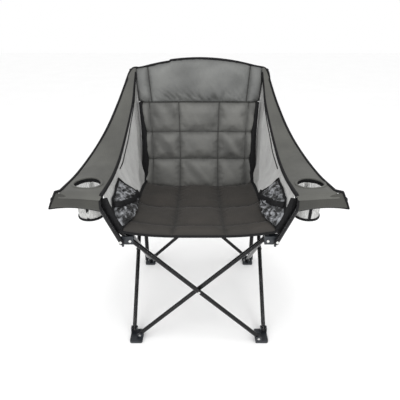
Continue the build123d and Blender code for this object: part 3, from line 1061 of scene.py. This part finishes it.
def cup_ring(name, side, band_points):
    """The bound edge of the arm's hole: a short black wall under a rolled cloth lip."""
    heights = [cloth_height(band_points, x, y) for x, y, _ in circle(side, CUP_R, 0)]
    lip = [(x, y, z + 0.0015) for (x, y, _), z in zip(circle(side, CUP_R, 0), heights)]
    wall = [(x, y, z - 0.007) for (x, y, _), z in zip(circle(side, CUP_R - 0.002, 0), heights)]
    rim = ribbon("lip", lip, 0.009, 0.0055, SKY, arm_cloth, closed=True)
    inner = ribbon("wall", wall, 0.015, 0.003, radial(), binding, closed=True)
    return joined(name, [rim, inner])


def post_sleeve(name, side):
    """The cloth pocket that the back's top corner hangs by, over the rear post's end."""
    low = Vector((side * 0.2705, 0.2805, 0.835))
    top = Vector((side * 0.2762, 0.2885, 0.9335))
    radii = [0.0118] * 12 + [0.0105, 0.006]
    centres = [low.lerp(top, s) for s in np.linspace(0, 1, len(radii))]
    tube = loft("tube", centres, radii, radii, head_cloth, high=(1, 0, 0), power=1.0)
    rows, columns = 12, 6
    flap = []
    for v in np.linspace(0.35, 0.97, rows):
        edge = np.array(headrest_surface(side * (HEAD_HALF - 0.004), v))
        post = np.array(centres[int((len(centres) - 1) * v)])
        flap += [edge * (1 - s) + post * s for s in np.linspace(0, 1, columns)]
    web = add_mesh("web", flap, grid_faces(rows, columns), head_cloth)
    return joined(name, [tube, web])


# Each piece follows the frame: the node it replaces, its body, and how it crumples

ACROSS = dict(axis=(1, 0, 0), anchor=(-SPAN / 2, 0, 0), keep=1 - FOLDED / SPAN)
ALONG = dict(axis=(0, -0.841, -0.542), anchor=(0, post_high.y, 0.93), keep=0.33)


def dress(piece, body, node=None, crumple=None):
    """Hide the CAD node that a piece stands for, hang the piece on its body, and give it a mesh of its own
    when it crumples.
    """
    if node:
        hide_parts(node)
    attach(piece, body)
    if crumple:
        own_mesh(piece)


dress(back, "root", "back_pad", ACROSS)
dress(head, "root", "headrest", ACROSS)
dress(trim, "root", None, ACROSS)
for half, pad in seat_halves.items():
    dress(pad, half, half, ACROSS)
    dress(seat_trims[half], half, None, ACROSS)

for word, side in SIDES.items():
    post_body = POST_BODY[word]
    arm_body = "arm_" + word
    band, band_points = arm_band(f"arm_cloth_{word}", side)
    dress(band, post_body, f"arm_band_{word}", ALONG)
    dress(arm_trim(f"arm_binding_{word}", side), post_body, None, ALONG)
    sleeve = arm_sleeve(f"arm_front_{word}", side)
    dress(sleeve, arm_body, f"arm_sleeve_{word}")
    dress(sleeve_trim(f"arm_front_binding_{word}", side), arm_body)
    panel, panel_points = side_panel(f"side_netting_{word}", side)
    dress(panel, post_body, f"side_panel_{word}", ALONG)
    dress(panel_trim(f"side_seam_{word}", side, panel_points), post_body, None, ALONG)
    dress(strut_webbing(f"strut_tape_{word}", side), arm_body)
    netting = panel_points.reshape(-1, 3)
    bag, bag_points = pocket(f"pocket_bag_{word}", side, netting)
    dress(bag, arm_body, f"pocket_{word}")
    dress(pocket_trim(f"pocket_binding_{word}", side, netting), arm_body)
    wall = cup_body(f"cup_mesh_{word}", side)
    dress(wall, arm_body, f"cup_{word}")
    dress(cup_trim(f"cup_binding_{word}", side), arm_body)
    dress(cup_ring(f"cup_hem_{word}", side, band_points), arm_body, f"cup_ring_{word}")
    dress(post_sleeve(f"post_pocket_{word}", side), post_body)


# Floor, lights and camera

matt = {"Roughness": 0.9, "Specular IOR Level": 0.1}
pale, tree, shader = node_material("pale_floor", matt)
tint = mix_colour(tree, noise_value(tree, 3), (0.965, 0.965, 0.965), (0.985, 0.985, 0.985))
feed(tree, shader, {"Base Color": tint})
floor = add_mesh("floor", [(-6, -4, 0), (6, -4, 0), (6, 9, 0), (-6, 9, 0)], [[0, 1, 2, 3]], pale, False)

scene = bpy.context.scene
scene.view_settings.view_transform = "Standard"
world = bpy.data.worlds.new("studio")
world.use_nodes = True
world.node_tree.nodes["Background"].inputs["Color"].default_value = (1, 1, 1, 1)
world.node_tree.nodes["Background"].inputs["Strength"].default_value = 1.0
scene.world = world


def softbox(name, place, target, size, power, roll=0.0):
    """A rectangular lamp aimed at a target and turned about its aim by roll, in degrees."""
    light = bpy.data.lights.new(name, "AREA")
    light.shape = "RECTANGLE"
    light.size, light.size_y = size
    light.energy = power
    lamp = bpy.data.objects.new(name, light)
    lamp.location = place
    aim = (Vector(target) - Vector(place)).to_track_quat("-Z", "Y")
    lamp.rotation_euler = (aim @ Quaternion(SKY, math.radians(roll))).to_euler()
    scene.collection.objects.link(lamp)


STRIP = (0.06, 2.4)
softbox("left_strip", (-1.7, -1.6, 1.3), (0, 0, 0.5), STRIP, 12)
softbox("right_strip", (1.5, -1.9, 1.3), (0, 0, 0.5), STRIP, 9)
softbox("left_cross", (-0.7, -2.4, 1.3), (0, 0, 0.3), STRIP, 9, roll=44)
softbox("right_cross", (0.7, -2.4, 1.3), (0, 0, 0.3), STRIP, 9, roll=-44)
softbox("overhead", (0, -0.3, 2.9), (0, 0, 0.5), (1.2, 1.2), 14)

LOOK_DOWN = 27.04  # degrees below level
camera_data = bpy.data.cameras.new("camera")
camera_data.lens = 35.3
camera_data.sensor_width = 36
camera_data.shift_x = 0.0025
camera = bpy.data.objects.new("camera", camera_data)
camera.location = (0, -1.385, 1.184)
camera.rotation_euler = (math.radians(90 - LOOK_DOWN), 0, 0)
scene.collection.objects.link(camera)
scene.camera = camera
